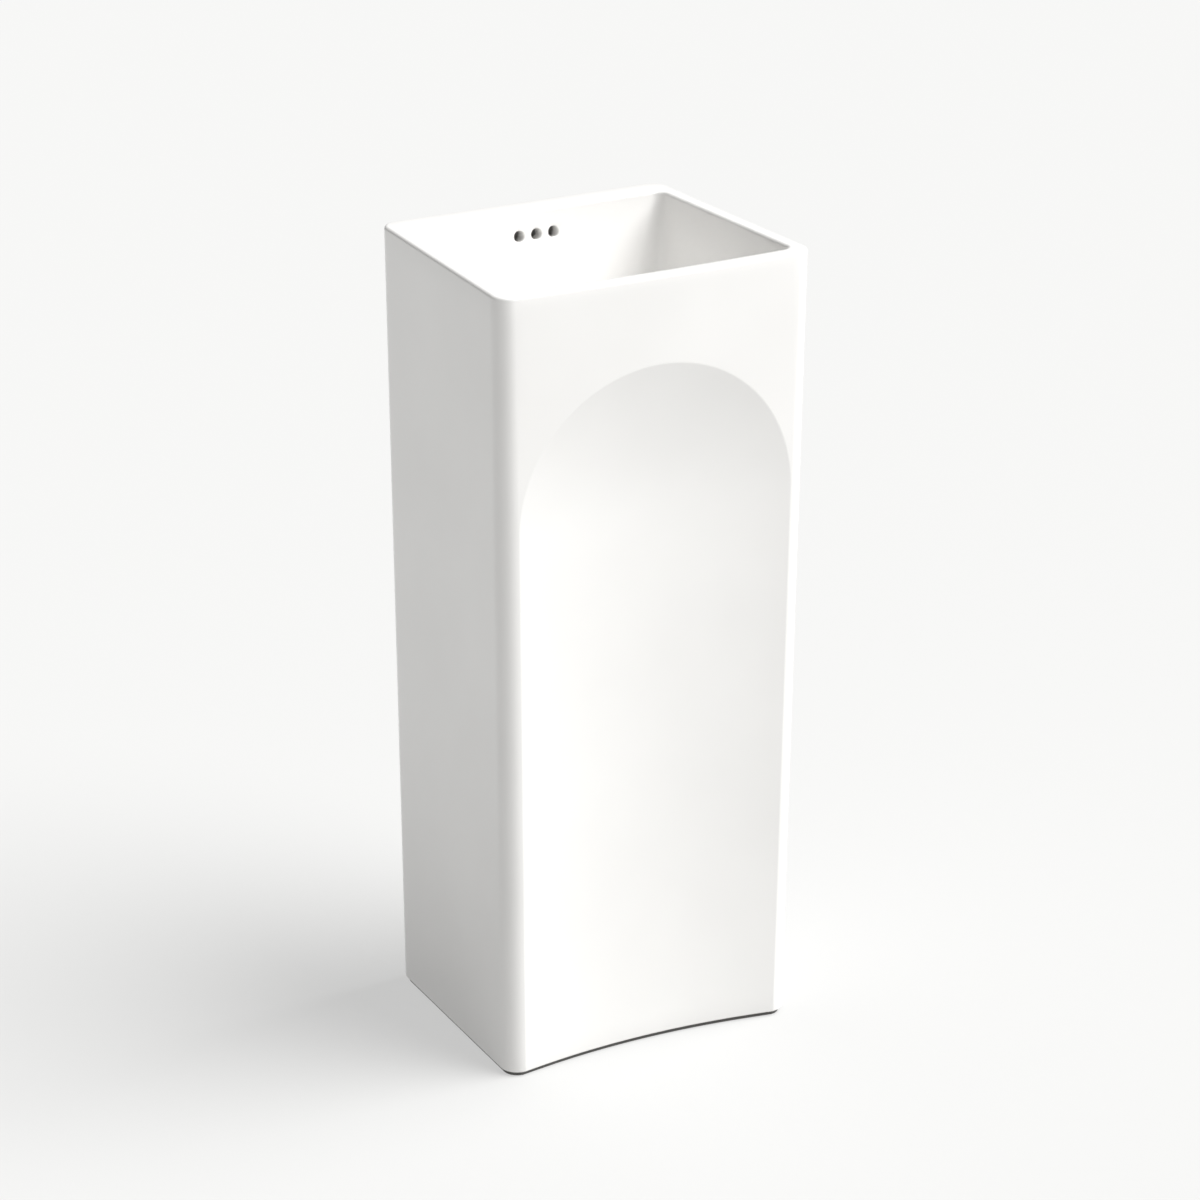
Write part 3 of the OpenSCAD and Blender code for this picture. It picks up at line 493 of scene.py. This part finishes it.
# ---------------------------------------------------------------- the casting
def casting_skin():
    """The glazed fireclay body as one closed surface, before its holes are cut."""
    bm = bmesh.new()
    edge_z = RIM_Z - RIM_ROUND
    foot_z = BASE_Z + BASE_ROUND

    # Spokes from the middle of the spring line: some end on the side edges, the rest on the rim
    start0 = corner_start(outer(SPRING_Z))
    gain = (corner_start(outer(edge_z)) - start0) / (edge_z - SPRING_Z)
    corner_angle = math.atan2(edge_z - SPRING_Z, corner_start(outer(edge_z)))
    side_spokes = [corner_angle * i / ARCH_SIDE_CELLS for i in range(ARCH_SIDE_CELLS + 1)]
    top_spokes = [mix(corner_angle, math.pi - corner_angle, i / FRONT_CELLS)
                  for i in range(1, FRONT_CELLS)]
    spokes = side_spokes + top_spokes + [math.pi - a for a in reversed(side_spokes)]

    def rise(angle):
        return math.tan(angle) * start0 / (1 - gain * math.tan(angle))

    def spoke_end(angle):
        if angle <= corner_angle:
            z = SPRING_Z + rise(angle)
            return corner_start(outer(z)), z
        if angle >= math.pi - corner_angle:
            z = SPRING_Z + rise(math.pi - angle)
            return -corner_start(outer(z)), z
        return (edge_z - SPRING_Z) / math.tan(angle), edge_z

    # Head of the scoop: rings about the middle of the spring line
    lip = LIP / ARCH_R
    rings = [(1 - lip) * i / SCOOP_RINGS for i in range(SCOOP_RINGS + 1)] + [1.0]

    def scoop_head(angle, t):
        x, z = t * ARCH_R * math.cos(angle), SPRING_Z + t * ARCH_R * math.sin(angle)
        return x, scoop_y(x, z), z

    patch(bm, spokes, rings, scoop_head)

    # Face round the head, from the lip out to the corners and the rim
    def face_round(angle, k):
        x0, z0 = ARCH_R * math.cos(angle), SPRING_Z + ARCH_R * math.sin(angle)
        x1, z1 = spoke_end(angle)
        t = strip_stops(math.hypot(x1 - x0, z1 - z0))[k]
        x, z = mix(x0, x1, t), mix(z0, z1, t)
        return x, face_y(x, z), z

    patch(bm, spokes, list(range(FACE_RINGS + 2)), face_round)

    # Shaft of the scoop and the narrow faces beside it, down to the foot
    levels = [mix(foot_z, SPRING_Z, i / SHAFT_ROWS) for i in range(SHAFT_ROWS + 1)]
    across = [-1.0] + [-t for t in reversed(rings[1:-1])] + [0.0] + rings[1:-1] + [1.0]

    def front_points(z, back=0.0, plan=None):
        """The front's points at one level, left to right."""
        half, start = scoop_half(z), corner_start(plan or outer(z))
        right = [mix(half, start, t) for t in strip_stops(start - half)[1:]]
        middle = [half * u for u in across]
        return ([(-x, face_y(x, z) + back) for x in reversed(right)]
                + [(x, scoop_y(x, z) + back) for x in middle]
                + [(x, face_y(x, z) + back) for x in right])

    def shaft(u, z):
        x = u * scoop_half(z)
        return x, scoop_y(x, z), z

    patch(bm, across, levels, shaft)
    for side in (-1, 1):
        def strip(k, z, side=side):
            half, start = scoop_half(z), corner_start(outer(z))
            x = side * mix(half, start, strip_stops(start - half)[k])
            return x, face_y(x, z), z
        patch(bm, list(range(FACE_RINGS + 2)), levels, strip)

    # Corners, sides and back, with rows where the front has them
    rows = levels + [SPRING_Z + rise(a) for a in side_spokes[1:]]
    stations = range(len(chain(RIM_PLAN, FRONT_BOW)))
    wraps = {z: chain(outer(z), FRONT_BOW) for z in rows}
    patch(bm, list(stations), rows, lambda i, z: (*wraps[z][i], z))

    # Rim: over the edge, across the top, into the bowl and down to the waste recess
    top_x = [spoke_end(a)[0] for a in reversed([corner_angle] + top_spokes + [math.pi - corner_angle])]
    fractions = [x / corner_start(outer(edge_z)) for x in top_x]

    def closed_ring(plan, bow, z):
        start = corner_start(plan)
        front = [(f * start, plan[2] - bow_at(f * start, plan[0], bow)) for f in fractions]
        return [(x, y, z) for x, y in front[:-1] + chain(plan, bow)]

    def toward_drain(ring, radius, z, t=1.0):
        out = []
        for x, y, z0 in ring:
            d = Vector((x, y - DRAIN_Y)).normalized() * radius
            out.append((mix(x, d.x, t), mix(y, DRAIN_Y + d.y, t), mix(z0, z, t)))
        return out

    quarter = [math.pi / 2 * i / 6 for i in range(7)]
    profile = [closed_ring(inset(outer(RIM_Z - RIM_ROUND * (1 - math.sin(a))), RIM_ROUND * (1 - math.cos(a))),
                           FRONT_BOW, RIM_Z - RIM_ROUND * (1 - math.sin(a))) for a in quarter]
    profile += [closed_ring(inset(BOWL_TOP, -RIM_ROUND * (1 - math.cos(a))), FRONT_BOW,
                            RIM_Z - RIM_ROUND * (1 - math.sin(a))) for a in reversed(quarter)]
    fillet_z = BOWL_FLOOR + FLOOR_FALL + BOWL_FILLET
    for i in range(1, 9):
        t = i / 8
        plan = tuple(mix(a, b, t) for a, b in zip(BOWL_TOP, BOWL_LOW))
        profile.append(closed_ring(plan, FRONT_BOW * (1 - t), mix(edge_z, fillet_z, t)))
    for a in [math.pi / 2 * i / 10 for i in range(1, 11)]:
        plan = inset(BOWL_LOW, BOWL_FILLET * (1 - math.cos(a)) * 0.985)
        profile.append(closed_ring(plan, 0, fillet_z - BOWL_FILLET * math.sin(a)))
    floor_ring = profile[-1]
    for i in range(1, 9):
        profile.append(toward_drain(floor_ring, RECESS_R + 4, BOWL_FLOOR, i / 8))
    profile += [toward_drain(floor_ring, r, z) for r, z in (
        (RECESS_R + 0.8, BOWL_FLOOR), (RECESS_R, BOWL_FLOOR - 0.8), (RECESS_R, BOWL_FLOOR - RECESS_DEPTH),
        (DRAIN_R, BOWL_FLOOR - RECESS_DEPTH))]
    top_count = len(profile[0])
    patch(bm, list(range(top_count + 1)), list(range(len(profile))),
          lambda i, k: profile[k][i % top_count])

    # Underneath: round the foot, across the base, up the hollow and out at the drain
    def foot_ring(i, z):
        plan = inset(outer(foot_z), i)
        return [(x, y, z) for x, y in front_points(foot_z, i, plan)[:-1] + chain(plan, FRONT_BOW)]

    def hollow_ring(z):
        plan = hollow(z)
        start = corner_start(plan)
        count = len(across) + 2 * (FACE_RINGS + 1)
        front = [(mix(-start, start, i / (count - 1)), plan[2]) for i in range(count)]
        return [(x, y, z) for x, y in front[:-1] + chain(plan, 0)]

    under = [foot_ring(BASE_ROUND * (1 - math.cos(a)), foot_z - BASE_ROUND * math.sin(a)) for a in quarter]
    under += [hollow_ring(mix(BASE_Z, HOLLOW_TOP, i / 6)) for i in range(7)]
    ceiling = under[-1]
    under += [toward_drain(ceiling, DRAIN_R, HOLLOW_TOP, t) for t in (0.5, 1.0)]
    foot_count = len(under[0])
    patch(bm, list(range(foot_count + 1)), list(range(len(under))),
          lambda i, k: under[k][i % foot_count])
    bmesh.ops.remove_doubles(bm, verts=bm.verts, dist=0.02 * MM)
    # The two ends of the drain hole are joined by a wall of their own
    rims = [e for e in bm.edges if e.is_boundary]
    bmesh.ops.bridge_loops(bm, edges=rims)
    bmesh.ops.recalc_face_normals(bm, faces=bm.faces)
    return bm


# ---------------------------------------------------------------- the holes in the casting
BACK_LEAN = math.atan2(RIM_PLAN[3] - BASE_PLAN[3], RIM_Z - BASE_Z)
ON_BACK = Matrix.Rotation(-BACK_LEAN, 4, "X")
TO_BACK = Matrix.Rotation(-math.pi / 2, 4, "X")      # turns +Z to point out of the back, +Y
PLATE_W, PLATE_H = SERVICE_W + 2 * COVER_LAND, SERVICE_H + 2 * COVER_LAND
SERVICE_MID = SERVICE_Z + SERVICE_H / 2
OVER = 3.0


def back_at(z):
    """A point on the middle line of the back face."""
    return Vector((0, outer(z)[3], z))


def service_cutters():
    opening = bmesh.new()
    plate(opening, SERVICE_W, SERVICE_H, COVER_CORNER_R - COVER_LAND / 2, BACK_WALL + 2 * OVER)
    middle = back_at(SERVICE_MID)
    yield finished(placed(opening, ON_BACK, middle + Vector((0, OVER, 0))), "opening_cutter")
    rebate = bmesh.new()
    plate(rebate, PLATE_W + 2 * COVER_GAP, PLATE_H + 2 * COVER_GAP, COVER_CORNER_R, COVER_T + OVER)
    yield finished(placed(rebate, ON_BACK, middle + Vector((0, OVER, 0))), "rebate_cutter")


def hole_cutter(radius, deep, place, lean=0.0):
    """A drill along +Y, its middle at the place."""
    drill = bmesh.new()
    turned(drill, [(0, -deep / 2), (radius, -deep / 2), (radius, deep / 2), (0, deep / 2)], 48)
    return finished(placed(drill, Matrix.Rotation(-lean, 4, "X") @ TO_BACK, place), "drill")


def overflow_cutters():
    """The channel behind the bowl, and the three holes that lead to it."""
    hole_z = RIM_Z - OVERFLOW_DROP
    channel_y = BOWL_TOP[3] + (RIM_BACK_T - CHANNEL_T) / 2
    channel = bmesh.new()
    block(channel, (-CHANNEL_W / 2, channel_y, BOWL_FLOOR - DOUBLE_FLOOR / 2 - CHANNEL_H / 2),
          (CHANNEL_W / 2, channel_y + CHANNEL_T, hole_z + OVERFLOW_R + 2))
    yield finished(channel, "channel_cutter")
    fall = RIM_Z - RIM_ROUND - (BOWL_FLOOR + FLOOR_FALL + BOWL_FILLET)
    lean = math.atan2(BOWL_LEAN, fall)
    wall_y = BOWL_TOP[3] - BOWL_LEAN * (RIM_Z - RIM_ROUND - hole_z) / fall
    deep = channel_y + OVER - wall_y
    flare = [(OVERFLOW_FLARE * (1 - math.sin(a)), -OVERFLOW_FLARE * (1 - math.cos(a)))
             for a in (math.pi / 2 * i / 5 for i in range(6))]
    for i in (-1, 0, 1):
        drill = bmesh.new()
        turned(drill, [(0, OVER), (OVERFLOW_R + OVERFLOW_FLARE, OVER)]
               + [(OVERFLOW_R + r, z) for r, z in flare] + [(OVERFLOW_R, -deep), (0, -deep)], 48)
        out_of_wall = Matrix.Rotation(math.pi / 2 - lean, 4, "X")
        yield finished(placed(drill, out_of_wall, (i * OVERFLOW_PITCH, wall_y, hole_z)), "hole_cutter")


def glazed_casting():
    casting = finished(casting_skin(), "glazed_casting")
    for cutter in service_cutters():
        cut(casting, cutter)
    screw_x = PLATE_W / 2 - COVER_LAND / 2
    for x in (-screw_x, screw_x):
        for z in (SERVICE_MID - PLATE_H / 4, SERVICE_MID + PLATE_H / 4):
            middle = back_at(z) + Vector((x, -BACK_WALL / 2 - OVER, 0))
            cut(casting, hole_cutter(INSERT_R, BACK_WALL, middle, BACK_LEAN))
    for x in (-BOLT_PITCH / 2, BOLT_PITCH / 2):
        middle = back_at(BOLT_Z) + Vector((x, -BACK_WALL / 2, 0))
        cut(casting, hole_cutter(BOLT_HOLE_R, BACK_WALL + 2 * OVER, middle))
    for cutter in overflow_cutters():
        cut(casting, cutter)
    return casting


def dress_casting(casting):
    """Glaze all over, near-black painted shade inside the overflow, and the crisp edges marked again."""
    bm = bmesh.new()
    bm.from_mesh(casting.data)
    bmesh.ops.recalc_face_normals(bm, faces=bm.faces)
    mark_sharp(bm, 28)
    wall_y = BOWL_TOP[3] * MM
    for face in bm.faces:
        middle = face.calc_center_median()
        # Faces inside the overflow holes and channel take the second finish, a near-black painted shade
        inside = wall_y - 1.5 * MM < middle.y < wall_y + 24 * MM and abs(middle.x) < CHANNEL_W / 2 * MM + 1e-5
        if inside and (BOWL_FLOOR - DOUBLE_FLOOR) * MM < middle.z < (RIM_Z - 17) * MM:
            face.material_index = 1
    bm.to_mesh(casting.data)
    bm.free()
    casting.data.materials.clear()
    casting.data.materials.append(FINISHES["glazed_fireclay"])
    # Second finish: near-black painted shade for the inside of the overflow
    casting.data.materials.append(overflow_painted_shade())
    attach(casting, "basin")
    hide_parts("ceramic_body")


# ---------------------------------------------------------------- pieces kept from the CAD
def dress_nodes():
    """Gives every CAD node the finish of its material slot."""
    for row in frame["record"]["subparts"]:
        obj = nodes[row["node"]]
        for material_slot in obj.material_slots:
            material_slot.material = FINISHES[row["material_slot"]]


# ---------------------------------------------------------------- the waste's polished top
def plug_top():
    """The domed cap that the hand presses, turned smooth with its stem."""
    low, high = [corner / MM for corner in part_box("plug_cap")]
    cap_r, axis_y = (high.x - low.x) / 2, (low.y + high.y) / 2
    under = high.z - 5.0
    edge = [(cap_r - 0.8 + 0.8 * math.sin(a), under + 0.8 - 0.8 * math.cos(a))
            for a in (math.pi / 2 * i / 5 for i in range(6))]
    shoulder = [(cap_r - 1.6 + 1.6 * math.cos(a), high.z - 2.6 + 1.6 * math.sin(a))
                for a in (math.pi / 2 * 0.9 * i / 8 for i in range(9))]
    dome_r = shoulder[-1][0]
    dome = [(dome_r * (1 - i / 12), high.z - 1.0 * (1 - i / 12) ** 2) for i in range(1, 13)]
    shoulder = [(r, min(z, high.z - 1.0)) for r, z in shoulder]
    boss_r = CAP_BOSS_R
    profile = ([(0, low.z), (2.1, low.z), (2.5, low.z + 0.4), (2.5, low.z + 25)]
               + [(STEM_R, low.z + 25.6), (STEM_R, under - 2), (boss_r - 0.4, under - 2), (boss_r, under - 1.6),
                  (boss_r, under)] + edge + shoulder + dome)
    bm = bmesh.new()
    turned(bm, profile, 96)
    bmesh.ops.translate(bm, verts=bm.verts, vec=(0, axis_y * MM, 0))
    cap = finished(bm, "plug_top", 40)
    cap.data.materials.append(FINISHES["chromed_brass"])
    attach(cap, "plug")
    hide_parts("plug_cap")


CAP_BOSS_R = 19.95
STEM_R = 5.2

# ---------------------------------------------------------------- build
dress_nodes()
casting = glazed_casting()
dress_casting(casting)
plug_top()


# ---------------------------------------------------------------- floor, light and camera
def studio_floor():
    """A wide pale floor, painted matt, that fills the view."""
    bm = bmesh.new()
    bmesh.ops.create_grid(bm, x_segments=2, y_segments=2, size=60)
    floor = finished(bm, "studio_floor")

    def paint(tree, place):
        return {"Base Color": linear("#8C8C8B"), "Roughness": 0.9, "Specular IOR Level": 0.0,
                "Emission Color": (1.0, 1.0, 0.995, 1.0), "Emission Strength": FLOOR_GLOW}
    floor.data.materials.append(finish("matt_floor_paint", paint))


def studio_light():
    world = bpy.data.worlds.new("soft_room")
    world.use_nodes = True
    tree = world.node_tree
    tree.nodes.clear()
    # The room is lit by its ceiling, so its light falls off towards the horizon
    height = add(tree, "SeparateXYZ", {"Vector": add(tree, "TexCoord").outputs["Generated"]}).outputs["Z"]
    glow = add(tree, "MapRange", {"Value": height, "From Min": 0.0, "From Max": 1.0,
                                  "To Min": WALL_LIGHT, "To Max": CEILING_LIGHT}).outputs["Result"]
    background = add(tree, "Background", {"Color": (1.0, 1.0, 1.0, 1.0), "Strength": glow})
    add(tree, "OutputWorld", {"Surface": background.outputs["Background"]})
    bpy.context.scene.world = world
    key = bpy.data.lights.new("key_light", "SUN")
    key.energy, key.angle = KEY_LIGHT, math.radians(KEY_SPREAD)
    lamp = bpy.data.objects.new("key_light", key)
    lamp.rotation_euler = (-Vector(KEY_FROM)).to_track_quat("-Z", "Y").to_euler()
    bpy.context.scene.collection.objects.link(lamp)


def camera():
    """Stands in front and to the left of the basin, above the rim, with a long lens."""
    lens = bpy.data.cameras.new("camera")
    lens.lens, lens.sensor_width, lens.clip_end = CAMERA_LENS, 36.0, 100.0
    eye = bpy.data.objects.new("camera", lens)
    back = Vector(CAMERA_BACK).normalized()
    right = Vector(CAMERA_RIGHT)
    right = (right - right.dot(back) * back).normalized()
    up = back.cross(right)
    turn = Matrix((right, up, back)).transposed().to_4x4()
    eye.matrix_world = Matrix.Translation(Vector(CAMERA_PLACE) * MM) @ turn
    bpy.context.scene.collection.objects.link(eye)
    bpy.context.scene.camera = eye


CAMERA_PLACE = (-2263.5, -4100.9, 2245.4)
CAMERA_BACK = (-0.4535, -0.8167, 0.3568)
CAMERA_RIGHT = (0.8747, -0.4846, 0.0024)
CAMERA_LENS = 144.16
FLOOR_GLOW = 0.50
WALL_LIGHT = 0.02
CEILING_LIGHT = 0.35
KEY_LIGHT = 5.4
KEY_SPREAD = 50
KEY_FROM = (0.48, -0.31, 0.82)

studio_floor()
studio_light()
camera()
bpy.context.scene.view_settings.view_transform = "Standard"

bpy.context.view_layer.update()
